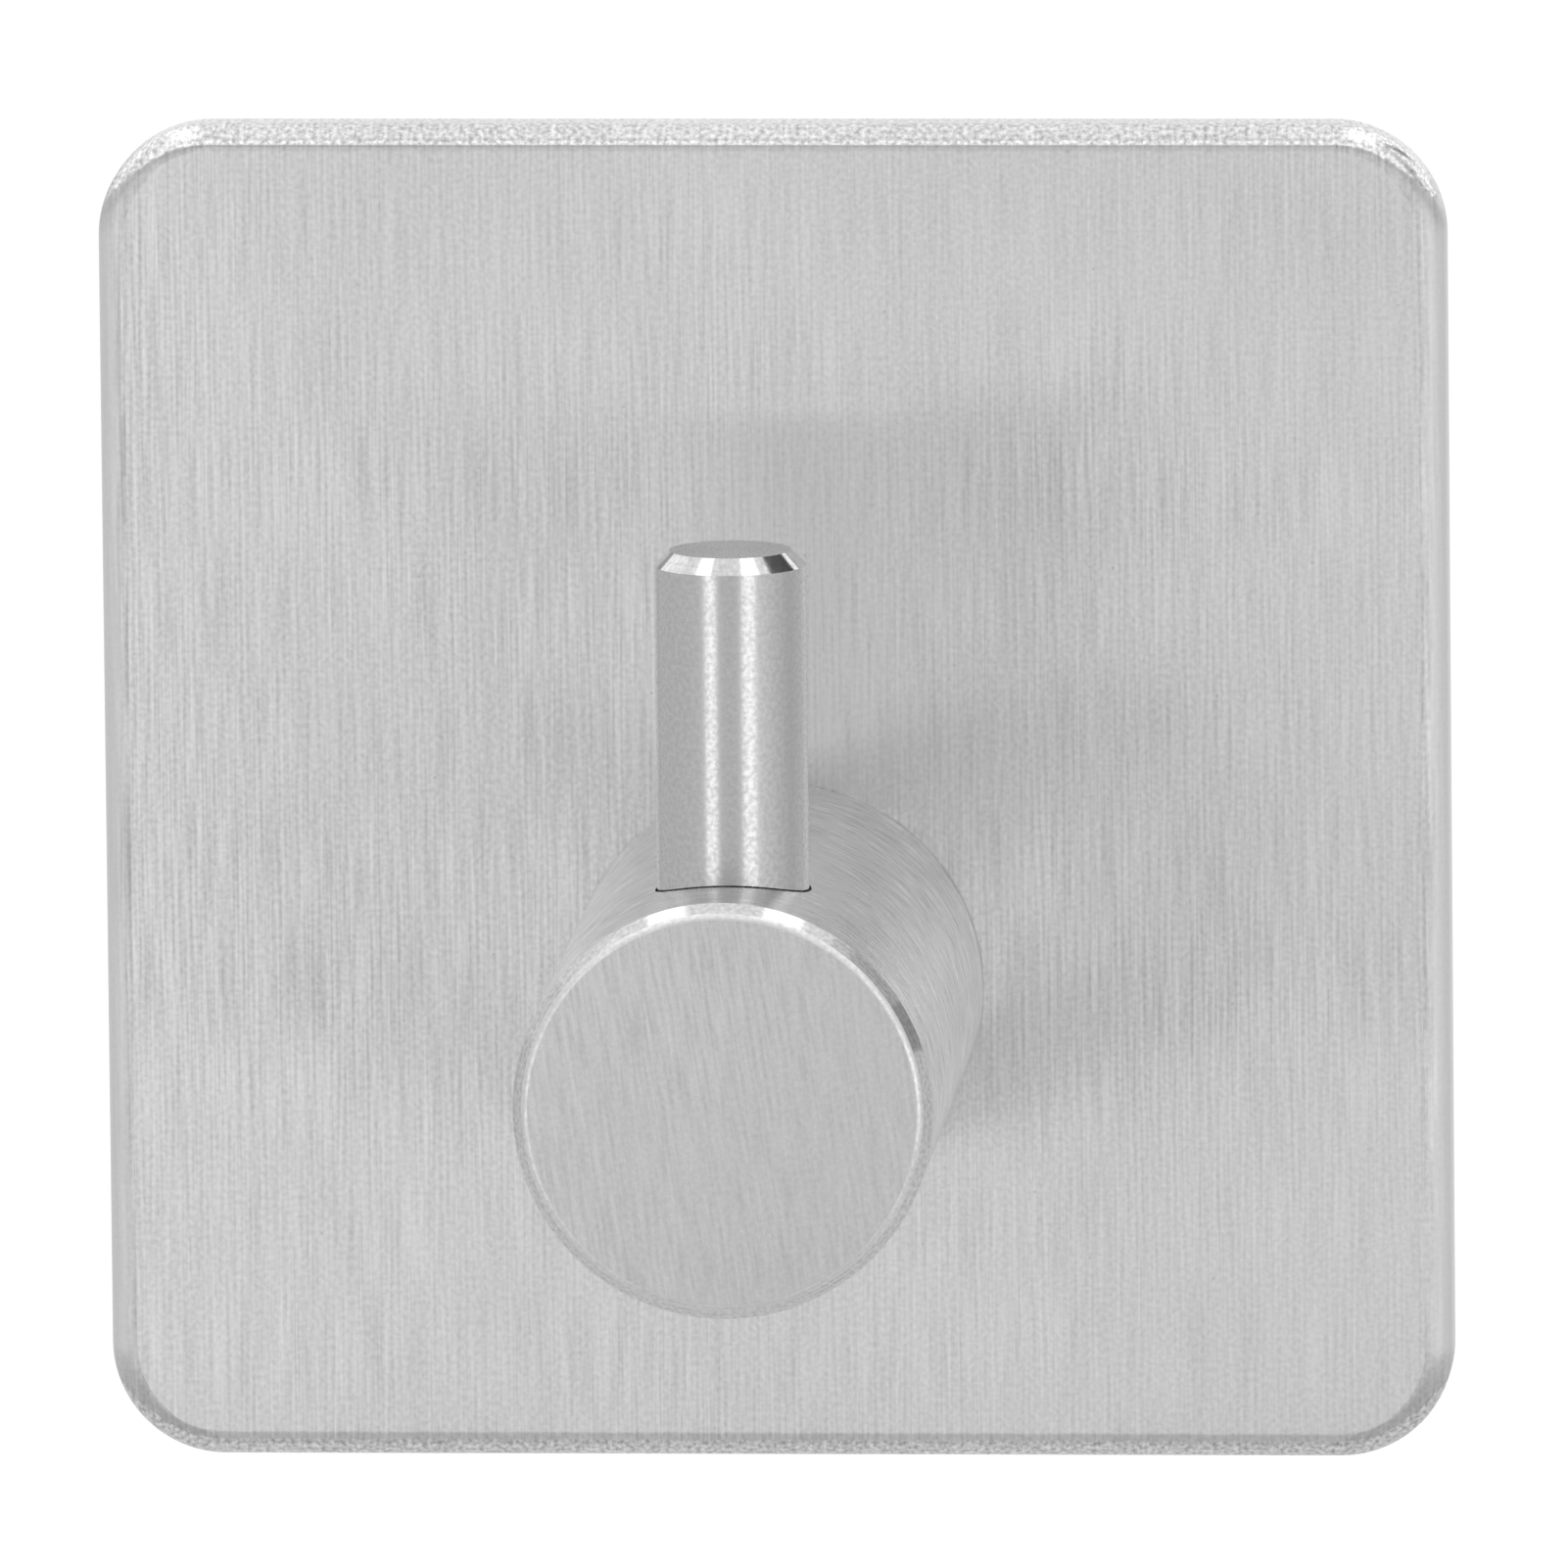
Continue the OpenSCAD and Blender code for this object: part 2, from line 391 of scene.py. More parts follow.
# Darker, tumbled spring steel without a grain.
spring_steel = marked_steel(
    "tumbled_spring_steel",
    ("#6c6a68", "#a19e9a"),
    (0.3 * MM, 0.3 * MM),
    roughness=0.38,
    spread=0.0,
    relief=0.0006 * MM,
)
plate_finishes = [brushed_sheet, stretched_bend, sheen_painted_side_bend, sheared_edge, mill_sheet]
print(f"{len(plate_finishes)} finishes for the plate")

# %% [markdown]
# ## Sweeping a section
# The rim of the pan, the peg, the pin and the screw all have one section that goes round an outline.
# Spin or the Screw modifier would turn the round ones, but not the square pan. Curve to Mesh sweeps
# a section round any outline, so one Geometry Nodes tree serves the turned pieces and a second one
# the sheets. A section's x runs outwards from the outline and its y is its height.

# %% Sections
def arc(centre, radius, first, last, steps):
    """Points of an arc, from one angle to another in degrees."""
    angles = [math.radians(first + (last - first) * step / steps) for step in range(steps + 1)]
    return [(centre[0] + radius * math.cos(a), centre[1] + radius * math.sin(a)) for a in angles]


def section(name, *chains):
    """A section as a curve. Curve to Mesh points a profile's y down, so the heights are turned round."""
    curve = bpy.data.curves.new(name, "CURVE")
    curve.dimensions = "3D"
    for chain in chains:
        spline = curve.splines.new("POLY")
        spline.points.add(len(chain) - 1)
        for point, (outwards, height) in zip(spline.points, chain):
            point.co = (outwards, -height, 0, 1)
    holder = bpy.data.objects.new(name, curve)
    bpy.context.scene.collection.objects.link(holder)
    return holder


# %% Start and end of a tree
weld_distance = 0.0005 * MM
crease_angle = math.radians(20)


def geometry_tree(name, sockets):
    """A new tree with named inputs. Gives the tree and the outputs of its Group Input."""
    tree = bpy.data.node_groups.new(name, "GeometryNodeTree")
    for title, kind in sockets.items():
        tree.interface.new_socket(title, in_out="INPUT", socket_type="NodeSocket" + kind)
    tree.interface.new_socket("Geometry", in_out="OUTPUT", socket_type="NodeSocketGeometry")
    return tree, tree.nodes.new("NodeGroupInput").outputs


def end_tree(tree, parts, finish):
    """Joins and welds the parts, creases sharp edges, makes instances real and sets the material."""
    joined = add(tree, "GeometryNodeJoinGeometry")
    for part in parts:
        tree.links.new(part.outputs[0], joined.inputs[0])
    welded = add(tree, "GeometryNodeMergeByDistance", {"Geometry": joined, "Distance": weld_distance})
    smooth = add(tree, "GeometryNodeSetShadeSmooth", {"Geometry": welded})
    angle = add(tree, "GeometryNodeInputMeshEdgeAngle")
    sharp = add(tree, "FunctionNodeCompare", {0: angle, 1: crease_angle}, operation="GREATER_THAN")
    creased = add(
        tree,
        "GeometryNodeSetShadeSmooth",
        {"Geometry": smooth, "Selection": sharp, "Shade Smooth": False},
        domain="EDGE",
    )
    real = add(tree, "GeometryNodeRealizeInstances", {"Geometry": creased})
    worn = add(tree, "GeometryNodeSetMaterial", {"Geometry": real, "Material": finish})
    add(tree, "NodeGroupOutput", {"Geometry": worn})


# %% Growing a piece
def settle(piece, place=None):
    """Turns an evaluated piece into a plain mesh with its place in its points, and drops its modifiers."""
    bpy.context.view_layer.update()
    depsgraph = bpy.context.evaluated_depsgraph_get()
    mesh = bpy.data.meshes.new_from_object(piece.evaluated_get(depsgraph), depsgraph=depsgraph)
    piece.modifiers.clear()
    piece.data = mesh
    if place is not None:
        mesh.transform(place)


def grow(name, tree, values, place):
    """A piece made by a tree. Its inputs are set by their sockets' identifiers."""
    piece = bpy.data.objects.new(name, bpy.data.meshes.new(name))
    bpy.context.scene.collection.objects.link(piece)
    maker = piece.modifiers.new(tree.name, "NODES")
    maker.node_group = tree
    sockets = {item.name: item.identifier for item in tree.interface.items_tree if item.in_out == "INPUT"}
    for title, value in values.items():
        maker[sockets[title]] = value
    settle(piece, place)
    for value in values.values():
        if isinstance(value, bpy.types.Object):
            bpy.data.objects.remove(value)
    print(f"{name}: {len(piece.data.polygons)} faces")
    return piece


# %% Tree for a turned piece
TURNED_SOCKETS = {"Section": "Object", "Radius": "Float", "Steps": "Int", "Finish": "Material"}


def lathe(tree, given):
    """Sweeps a section round a circle.

    The sections run from the low end to the high one, which leaves the faces inwards, so they are flipped.
    """
    circle = add(
        tree,
        "GeometryNodeCurvePrimitiveCircle",
        {"Resolution": given["Steps"], "Radius": given["Radius"]},
    )
    profile = add(tree, "GeometryNodeObjectInfo", {"Object": given["Section"]})
    swept = add(
        tree,
        "GeometryNodeCurveToMesh",
        {"Curve": circle, "Profile Curve": profile.outputs["Geometry"]},
    )
    return add(tree, "GeometryNodeFlipFaces", {"Mesh": swept})


turned_tree, given = geometry_tree("turned_piece", TURNED_SOCKETS)
end_tree(turned_tree, [lathe(turned_tree, given)], given["Finish"])
print("inputs of a turned piece:", ", ".join(TURNED_SOCKETS))

# %% [markdown]
# ## Sheets
# The pan, the three layers of tape and the washer are sheets: an outline and a hole, filled at two
# distances from the wall. A function adds what they share, and each tree adds its own outline and
# edge.

# %% Faces of a sheet
SHEET_SOCKETS = {
    "Front": "Float",
    "Back": "Float",
    "Hole radius": "Float",
    "Hole height": "Float",
    "Hole steps": "Int",
    "Finish": "Material",
}


def sheet_faces(tree, given, outline):
    """Front, back and hole of a sheet with this outline, and the two ends of a line through it."""
    hole_place = add(tree, "ShaderNodeCombineXYZ", {"Y": given["Hole height"]})
    circle = add(
        tree,
        "GeometryNodeCurvePrimitiveCircle",
        {"Resolution": given["Hole steps"], "Radius": given["Hole radius"]},
    )
    hole = add(tree, "GeometryNodeTransform", {"Geometry": circle, "Translation": hole_place})
    both = add(tree, "GeometryNodeJoinGeometry", {"Geometry": outline})
    tree.links.new(hole.outputs[0], both.inputs[0])
    flat = add(tree, "GeometryNodeFillCurve", {"Curve": both}, mode="TRIANGLES")
    faces, ends = [], []
    for level in ("Front", "Back"):
        place = add(tree, "ShaderNodeCombineXYZ", {"Z": given[level]})
        faces.append(add(tree, "GeometryNodeTransform", {"Geometry": flat, "Translation": place}))
        turned_round = add(tree, "ShaderNodeMath", {0: 0.0, 1: given[level]}, operation="SUBTRACT")
        ends.append(add(tree, "ShaderNodeCombineXYZ", {"Y": turned_round}))
    faces[1] = add(tree, "GeometryNodeFlipFaces", {"Mesh": faces[1]})
    inwards = add(tree, "GeometryNodeCurvePrimitiveLine", {"Start": ends[1], "End": ends[0]})
    faces.append(add(tree, "GeometryNodeCurveToMesh", {"Curve": hole, "Profile Curve": inwards}))
    return faces, ends


# %% Tree for a square sheet with a worked edge
sheet_tree, given = geometry_tree(
    "sheet_with_worked_edge",
    {
        "Section": "Object",
        "Side": "Float",
        "Corner radius": "Float",
        "Corner steps": "Int",
        **SHEET_SOCKETS,
    },
)
square = add(
    sheet_tree,
    "GeometryNodeCurvePrimitiveQuadrilateral",
    {"Width": given["Side"], "Height": given["Side"]},
)
outline = add(
    sheet_tree,
    "GeometryNodeFilletCurve",
    {"Curve": square, "Radius": given["Corner radius"], "Count": given["Corner steps"]},
    mode="POLY",
)
edge = add(sheet_tree, "GeometryNodeObjectInfo", {"Object": given["Section"]})
rim = add(
    sheet_tree,
    "GeometryNodeCurveToMesh",
    {"Curve": outline, "Profile Curve": edge.outputs["Geometry"]},
)
faces = sheet_faces(sheet_tree, given, outline)[0]
end_tree(sheet_tree, [rim, *faces], given["Finish"])
print("inputs that all sheets share:", ", ".join(SHEET_SOCKETS))

# %% [markdown]
# ## Placing a piece and laying its grain
# A piece is made on its own axis and then put in its place in the mesh itself, so that the finished
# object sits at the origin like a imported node. Bores are then cut out of it. The grain map is laid
# face by face: a rule says for each corner how far it lies across and along the tool marks. Another
# rule picks each face's finish.

# %% Turning and cutting
ON_WALL = Matrix.Rotation(math.radians(90), 4, "X")


def turned(name, points, steps, finish, place):
    """Turns a half section of (radius, height) points round its axis."""
    radius = max(point[0] for point in points)
    half = section(name + "_section", [(r - radius, height) for r, height in points])
    values = {"Section": half, "Radius": radius, "Steps": steps, "Finish": finish}
    return grow(name, turned_tree, values, place)


def cut_with(piece, *cutters):
    """Takes the cutters out of a piece, as a drill or a punch would, and creases the new edges."""
    for cutter in cutters:
        cut = piece.modifiers.new(cutter.name, "BOOLEAN")
        cut.operation = "DIFFERENCE"
        cut.solver = "EXACT"
        cut.object = cutter
    settle(piece)
    piece.data.set_sharp_from_angle(angle=crease_angle)
    for cutter in cutters:
        bpy.data.objects.remove(cutter)


# %% Laying the grain and handing in
def lay_grain(piece, rule):
    """Gives a piece its grain map. The rule takes a corner's place, its face's normal and centre."""
    mesh = piece.data
    layer = mesh.uv_layers.new(name="grain")
    for face in mesh.polygons:
        for loop in face.loop_indices:
            place = mesh.vertices[mesh.loops[loop].vertex_index].co
            layer.data[loop].uv = rule(place, face.normal, face.center)


def finish_faces(piece, finishes, rule):
    """Gives each face one of the finishes. The rule takes a face's centre and normal."""
    piece.data.materials.clear()
    for finish in finishes:
        piece.data.materials.append(finish)
    for face in piece.data.polygons:
        face.material_index = finishes.index(rule(face.center, face.normal))


def around(x, y, centre_x, centre_y, radius):
    """Arc length round an axis, without a jump inside the face that has this centre."""
    middle = math.atan2(centre_x, centre_y)
    if abs(x) + abs(y) < weld_distance:
        return middle * radius
    step = math.atan2(x, y) - middle
    return (middle + math.remainder(step, 2 * math.pi)) * radius


def hand_in(piece, node):
    """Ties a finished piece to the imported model."""
    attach(piece, "root")
    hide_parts(node)
    print(f"{piece.name} takes the place of {node}")


# %% [markdown]
# ## The pan
# The base plate is pressed from sheet: its face is flat, and its edge is rolled back over a small
# radius into a rim two millimetres deep, sheared off square. A bevelled block would have the same
# front, but no hollow back and no even sheet. Here the section of bend and rim goes round the
# flat's outline, and the flat is filled front and back. The bends get finishes of their own: across
# the hairlines the sheet was stretched, and along them, at the sides, the bends are painted paler,
# a painted sheen in place of the light they mirror.

# %% Base plate
corner_radius = 3.8 * MM
sheet_thickness = 0.7 * MM
bend_radius = 0.9 * MM
edge_break = 0.1 * MM
screw_hole_radius = 2.2 * MM
bend_steps = 24
corner_steps = 24
hole_steps = 64
inner_bend = bend_radius - sheet_thickness
bend_out = plate_front - bend_radius
rim_points = arc((0, bend_out), bend_radius, 90, 0, bend_steps)
rim_points += [
    (bend_radius, plate_back + edge_break),
    (bend_radius - edge_break, plate_back),
    (inner_bend + edge_break, plate_back),
    (inner_bend, plate_back + edge_break),
]
rim_points += arc((0, bend_out), inner_bend, 0, 90, bend_steps)
plate = grow(
    "stamped_pan",
    sheet_tree,
    {
        "Section": section("rim_section", rim_points),
        "Side": plate_side - 2 * bend_radius,
        "Corner radius": corner_radius - bend_radius,
        "Corner steps": corner_steps,
        "Front": plate_front,
        "Back": plate_front - sheet_thickness,
        "Hole radius": screw_hole_radius,
        "Hole height": peg_height,
        "Hole steps": hole_steps,
        "Finish": brushed_sheet,
    },
    ON_WALL,
)

# %% Grain and finishes of the plate
# How far a normal leans: off the flat, into a bend across the hairlines, and to the full painted sheen.
edge_slant = 0.02
stretch_slant = 0.34
painted_sheen_slant = 0.5
painted_sheen_most = 0.7


def sheet_grain(place, normal, centre):
    """Brushed up and down while the sheet was flat, so bend and rim are laid flat again."""
    slant = math.hypot(normal.x, normal.z)
    if slant < edge_slant:
        return place.x, place.z
    depth = max(0.0, plate_front + place.y)
    turn = math.acos(max(0.0, 1 - depth / bend_radius))
    gain = bend_radius * (turn - math.sin(turn)) + max(0.0, depth - bend_radius)
    return place.x + gain * normal.x / slant, place.z + gain * normal.z / slant


def sheet_finish(centre, normal):
    """Brushed in front, stretched round the top and bottom bends, given the painted sheen round the side
    bends, sheared at the end and plain inside.
    """
    if normal.y > edge_slant:
        return sheared_edge if -centre.y < plate_back + edge_break else mill_sheet
    facing_out = normal.x * centre.x + normal.z * centre.z
    if abs(facing_out) < edge_break:
        return brushed_sheet
    if facing_out < 0:
        return mill_sheet
    if abs(normal.z) > stretch_slant:
        return stretched_bend
    return sheen_painted_side_bend if abs(normal.x) > edge_slant else brushed_sheet


def side_painted_sheen(normal):
    """Share of the painted sheen's paler tone: none in front and across the hairlines, most round the side
    bends.
    """
    along = max(0.0, 1 - abs(normal.z) / stretch_slant)
    return painted_sheen_most * along * min(1.0, abs(normal.x) / painted_sheen_slant)


lay_grain(plate, sheet_grain)
# The side bends are painted paler by this share: a painted sheen, in place of the light that they mirror.
painted_sheen = plate.data.attributes.new("painted_sheen", "FLOAT", "FACE")
painted_sheen.data.foreach_set("value", [side_painted_sheen(face.normal) for face in plate.data.polygons])
finish_faces(plate, plate_finishes, sheet_finish)
hand_in(plate, "base_plate")

# %% [markdown]
# ## The peg
# The peg is turned from bar: a satin side, a polished chamfer, a small eased edge and a face that
# was brushed flat. The bores are cut with a Boolean, as a drill would, because the pin's mouth
# crosses the round side.

# %% Peg
peg_chamfer = 0.4 * MM
chamfer_angle = 45
peg_ease = 0.35 * MM
peg_back_break = 0.15 * MM
peg_steps = 180
side_rings = 16
ease_steps = 8
ease_start = peg_radius - peg_chamfer - peg_ease * math.tan(math.radians(chamfer_angle / 2))
side_start = plate_front + peg_back_break
side_end = peg_front - peg_chamfer
peg_points = [(0, plate_front), (peg_radius - peg_back_break, plate_front)]
for ring in range(side_rings + 1):
    peg_points.append((peg_radius, side_start + (side_end - side_start) * ring / side_rings))
peg_points += arc((ease_start, peg_front - peg_ease), peg_ease, 90 - chamfer_angle, 90, ease_steps)
peg_points.append((0, peg_front))
peg_place = Matrix.Translation((0, 0, peg_height)) @ ON_WALL
peg = turned("turned_peg", peg_points, peg_steps, turned_bar, peg_place)

# %% Bores of the peg
tapped_radius = 2.025 * MM
drill_run = 1.0 * MM
drill_tip = 1.2 * MM
spigot_radius = 2.0 * MM
spigot_lead = 0.2 * MM
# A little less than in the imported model, because the seam shows as a fine line.
seam_gap = 0.07 * MM
seat_depth = 0.1 * MM
mouth_steps = 96
mouth_radius = pin_radius + seam_gap
seat_height = peg_height + math.sqrt(peg_radius ** 2 - mouth_radius ** 2) - seat_depth
pin_axis = Matrix.Translation((0, -pin_out, 0))
bore_end = pin_low.z - spigot_lead
mouth_points = [
    (0, bore_end),
    (spigot_radius, bore_end),
    (spigot_radius, seat_height),
    (mouth_radius, seat_height),
    (mouth_radius, pin_top),
    (0, pin_top),
]
tapped_points = [
    (0, plate_front - drill_run),
    (tapped_radius, plate_front - drill_run),
    (tapped_radius, screw_tip + drill_run),
    (0, screw_tip + drill_run + drill_tip),
]
cut_with(
    peg,
    turned("mouth_cutter", mouth_points, mouth_steps, shade_painted_bore, pin_axis),
    turned("tapped_cutter", tapped_points, hole_steps, shade_painted_bore, peg_place),
)
print(f"{peg.name} with its bores: {len(peg.data.polygons)} faces")

# %% Grain and finishes of the peg
brush_lean = math.radians(8)
# The slants that tell the face from the eased ring, and the ring from the chamfer.
face_tilt = math.cos(math.radians(6))
ease_tilt = math.cos(math.radians(43))


def peg_grain(place, normal, centre):
    """Turned marks run round the axis. The face was brushed nearly upright."""
    x, z = place.x, place.z - peg_height
    if normal.y < -face_tilt:
        across = x * math.cos(brush_lean) + z * math.sin(brush_lean)
        return across, z * math.cos(brush_lean) - x * math.sin(brush_lean)
    return place.y + math.hypot(x, z), around(x, z, centre.x, centre.z - peg_height, peg_radius)


def peg_finish(centre, normal):
    """Face, eased ring and chamfer are told by their slant, and the bores, painted dark as painted shade,
    by their distance inwards.
    """
    reach = math.hypot(centre.x, centre.z - peg_height)
    if -centre.y > side_end:
        if normal.y < -face_tilt:
            return brushed_end
        return eased_edge if normal.y < -ease_tilt else polished_chamfer
    return shade_painted_bore if reach < peg_radius - peg_back_break else turned_bar


lay_grain(peg, peg_grain)
finish_faces(peg, peg_finishes, peg_finish)
hand_in(peg, "peg")

# %% [markdown]
# ## The pin
# The pin is a turned rod with a polished chamfer round its top, made by the same tree as the peg. Its
# foot beds in the mouth of the bore and has a fine groove where it comes out of the peg, which shows
# as the thin dark seam round it. A painted line alone would not follow the light, so the groove is cut
# in the mesh, and its faces are painted dark as well, a painted shade. The peg is round, so the
# groove's rings are let down to follow the peg's back like a saddle.

# %% Pin
pin_chamfer = 0.5 * MM
groove_depth = 0.06 * MM
groove_height = 0.04 * MM
groove_sink = 0.03 * MM
pin_steps = 160
peg_crown = peg_height + peg_radius
groove_radius = pin_radius - groove_depth
groove_top = peg_crown + groove_height
pin_points = [
    (0, pin_low.z),
    (spigot_radius - spigot_lead, pin_low.z),
    (spigot_radius, pin_low.z + spigot_lead),
    (spigot_radius, seat_height),
    (groove_radius, seat_height),
    (groove_radius, peg_crown - groove_sink),
    (groove_radius, groove_top),
    (pin_radius, groove_top),
    (pin_radius, pin_top - pin_chamfer),
    (pin_radius - pin_chamfer, pin_top),
    (0, pin_top),
]
pin = turned("upright_pin", pin_points, pin_steps, satin_rod, pin_axis)
for vertex in pin.data.vertices:
    if peg_crown - 2 * groove_sink < vertex.co.z < groove_top + groove_sink:
        vertex.co.z += math.sqrt(peg_radius ** 2 - vertex.co.x ** 2) - peg_radius
pin.data.update()


# %% Grain and finishes of the pin
def pin_grain(place, normal, centre):
    """Turned marks run round the axis, on the top as well."""
    x, y = place.x, place.y + pin_out
    along = around(x, y, centre.x, centre.y + pin_out, pin_radius)
    if normal.z > face_tilt:
        return math.hypot(x, y), along
    return place.z, along


def pin_finish(centre, normal):
    """The chamfer is polished, and what lies in the peg and the groove is painted dark, a painted shade."""
    if centre.z > pin_top - pin_chamfer and normal.z < face_tilt:
        return polished_chamfer
    reach = math.hypot(centre.x, centre.y + pin_out)
    sunk = reach < pin_radius - groove_depth / 4 and centre.z < groove_top
    return shade_painted_bore if sunk else satin_rod


lay_grain(pin, pin_grain)
finish_faces(pin, pin_finishes, pin_finish)
hand_in(pin, "hook_pin")

# %% [markdown]
# ## The screw
# A machine screw with a thin round head comes through the plate from behind and holds the peg. Its
# thread is rolled: one ridge that climbs by a pitch in each turn. A ridge swept along a spiral would
# lie in the core with hidden faces, so here the shank is a grid that is wrapped round the axis, and
# each point's distance from the axis follows from its height and its turn. Head and tip are turned.

# %% Tree for a threaded screw
screw_tree, given = geometry_tree(
    "threaded_screw",
    {
        **TURNED_SOCKETS,
        "Rows": "Int",
        "Start": "Float",
        "End": "Float",
        "Root radius": "Float",
        "Depth": "Float",
        "Pitch": "Float",
    },
)
head_and_tip = lathe(screw_tree, given)
# The shank starts as a unit square round the origin: its x becomes the turn, and its y the height.
columns = add(screw_tree, "ShaderNodeMath", {0: given["Steps"], 1: 1.0}, operation="ADD")
grid = add(
    screw_tree,
    "GeometryNodeMeshGrid",
    {"Size X": 1.0, "Size Y": 1.0, "Vertices X": columns, "Vertices Y": given["Rows"]},
)
place = add(screw_tree, "GeometryNodeInputPosition")
split = add(screw_tree, "ShaderNodeSeparateXYZ", {"Vector": place})
turn = add(screw_tree, "ShaderNodeMath", {0: split.outputs["X"], 1: 0.5}, operation="ADD")
climb = add(
    screw_tree,
    "ShaderNodeMapRange",
    {
        "Value": split.outputs["Y"],
        "From Min": -0.5,
        "From Max": 0.5,
        "To Min": given["Start"],
        "To Max": given["End"],
    },
)

# %% Ridge of the thread
# Shares of the way from root to crest at which the root's flat ends and the crest's flat starts.
thread_flats = (0.2, 0.9)
turns_up = add(screw_tree, "ShaderNodeMath", {0: climb, 1: given["Pitch"]}, operation="DIVIDE")
phase = add(screw_tree, "ShaderNodeMath", {0: turns_up, 1: turn}, operation="SUBTRACT")
doubled = add(screw_tree, "ShaderNodeMath", {0: phase, 1: 2.0}, operation="MULTIPLY")
ridge = add(screw_tree, "ShaderNodeMath", {0: doubled, 1: 1.0}, operation="PINGPONG")
flats = add(
    screw_tree,
    "ShaderNodeMapRange",
    {"Value": ridge, "From Min": thread_flats[0], "From Max": thread_flats[1]},
)
from_start = add(screw_tree, "ShaderNodeMath", {0: climb, 1: given["Start"]}, operation="SUBTRACT")
from_end = add(screw_tree, "ShaderNodeMath", {0: given["End"], 1: climb}, operation="SUBTRACT")
nearer = add(screw_tree, "ShaderNodeMath", {0: from_start, 1: from_end}, operation="MINIMUM")
run_out = add(screw_tree, "ShaderNodeMapRange", {"Value": nearer, "From Max": given["Pitch"]})
faded = add(screw_tree, "ShaderNodeMath", {0: flats, 1: run_out}, operation="MULTIPLY")
radius = add(
    screw_tree,
    "ShaderNodeMath",
    {0: faded, 1: given["Depth"], 2: given["Root radius"]},
    operation="MULTIPLY_ADD",
)
angle = add(screw_tree, "ShaderNodeMath", {0: turn, 1: 2 * math.pi}, operation="MULTIPLY")
wrapped = add(screw_tree, "ShaderNodeCombineXYZ", {"Z": climb})
for axis, function in (("X", "COSINE"), ("Y", "SINE")):
    wave = add(screw_tree, "ShaderNodeMath", {0: angle}, operation=function)
    reach = add(screw_tree, "ShaderNodeMath", {0: wave, 1: radius}, operation="MULTIPLY")
    screw_tree.links.new(reach.outputs[0], wrapped.inputs[axis])
shank = add(screw_tree, "GeometryNodeSetPosition", {"Geometry": grid, "Position": wrapped})
end_tree(screw_tree, [head_and_tip, shank], given["Finish"])
print("nodes of the screw's tree:", len(screw_tree.nodes))

# %% Screw
head_height = 0.9 * MM
head_round = 0.3 * MM
tip_break = 0.5 * MM
thread_radius = 2.0 * MM
thread_pitch = 0.7 * MM
thread_depth = 0.43 * MM
screw_steps = 48
rows_per_turn = 10
head_front = screw_back + head_height
root_radius = thread_radius - thread_depth
thread_end = screw_tip - tip_break
head_points = [(0, screw_back)]
head_points += arc((head_radius - head_round, screw_back + head_round), head_round, -90, 0, ease_steps)
head_points += [(head_radius, head_front), (root_radius, head_front)]
tip_points = [(root_radius, thread_end), (root_radius - tip_break / 2, screw_tip), (0, screw_tip)]
chains = [[(r - head_radius, out) for r, out in chain] for chain in (head_points, tip_points)]
screw = grow(
    "threaded_fixing_screw",
    screw_tree,
    {
        "Section": section("screw_section", *chains),
        "Radius": head_radius,
        "Steps": screw_steps,
        "Rows": round((thread_end - head_front) / thread_pitch * rows_per_turn),
        "Start": head_front,
        "End": thread_end,
        "Root radius": root_radius,
        "Depth": thread_depth,
        "Pitch": thread_pitch,
        "Finish": screw_steel,
    },
    peg_place,
)

# %% Socket, grain and finishes of the screw
socket_sides = 6
socket_flats = 2.5 * MM
socket_depth = 0.6 * MM
socket_lead = 0.1 * MM
socket_radius = socket_flats / 2 / math.cos(math.pi / socket_sides)
socket_points = [
    (0, screw_back - socket_depth),
    (socket_radius, screw_back - socket_depth),
    (socket_radius, screw_back + socket_depth),
    (0, screw_back + socket_depth + socket_lead),
]
cut_with(screw, turned("socket_cutter", socket_points, socket_sides, shade_painted_bore, peg_place))


def screw_grain(place, normal, centre):
    """Rolled and headed round the axis."""
    x, z = place.x, place.z - peg_height
    return place.y - math.hypot(x, z), around(x, z, centre.x, centre.z - peg_height, head_radius)


def screw_finish(centre, normal):
    """The socket is painted dark, a painted shade, because it mirrors only itself."""
    reach = math.hypot(centre.x, centre.z - peg_height)
    in_socket = reach < socket_radius and screw_back + weld_distance < -centre.y < head_front
    return shade_painted_bore if in_socket else screw_steel


lay_grain(screw, screw_grain)
finish_faces(screw, [screw_steel, shade_painted_bore], screw_finish)
hand_in(screw, "fixing_screw")

# %% [markdown]
# ## The washer
# A toothed lock washer under the screw's head keeps the peg from working loose. It is stamped. The
# gaps could be cut out of a disc with Booleans, but one outline gives a cleaner mesh: a circle whose
# points step in at each gap between two teeth.

# %% Tree for a toothed washer
washer_tree, given = geometry_tree(
    "toothed_washer",
    {
        "Teeth": "Int",
        "Tooth steps": "Int",
        "Gap steps": "Int",
        "Tip radius": "Float",
        "Root radius": "Float",
        **SHEET_SOCKETS,
    },
)
around_steps = add(
    washer_tree,
    "ShaderNodeMath",
    {0: given["Teeth"], 1: given["Tooth steps"]},
    operation="MULTIPLY",
)
circle = add(
    washer_tree,
    "GeometryNodeCurvePrimitiveCircle",
    {"Resolution": around_steps, "Radius": given["Tip radius"]},
)
index = add(washer_tree, "GeometryNodeInputIndex")
in_tooth = add(washer_tree, "ShaderNodeMath", {0: index, 1: given["Tooth steps"]}, operation="MODULO")
in_gap = add(washer_tree, "ShaderNodeMath", {0: in_tooth, 1: given["Gap steps"]}, operation="LESS_THAN")
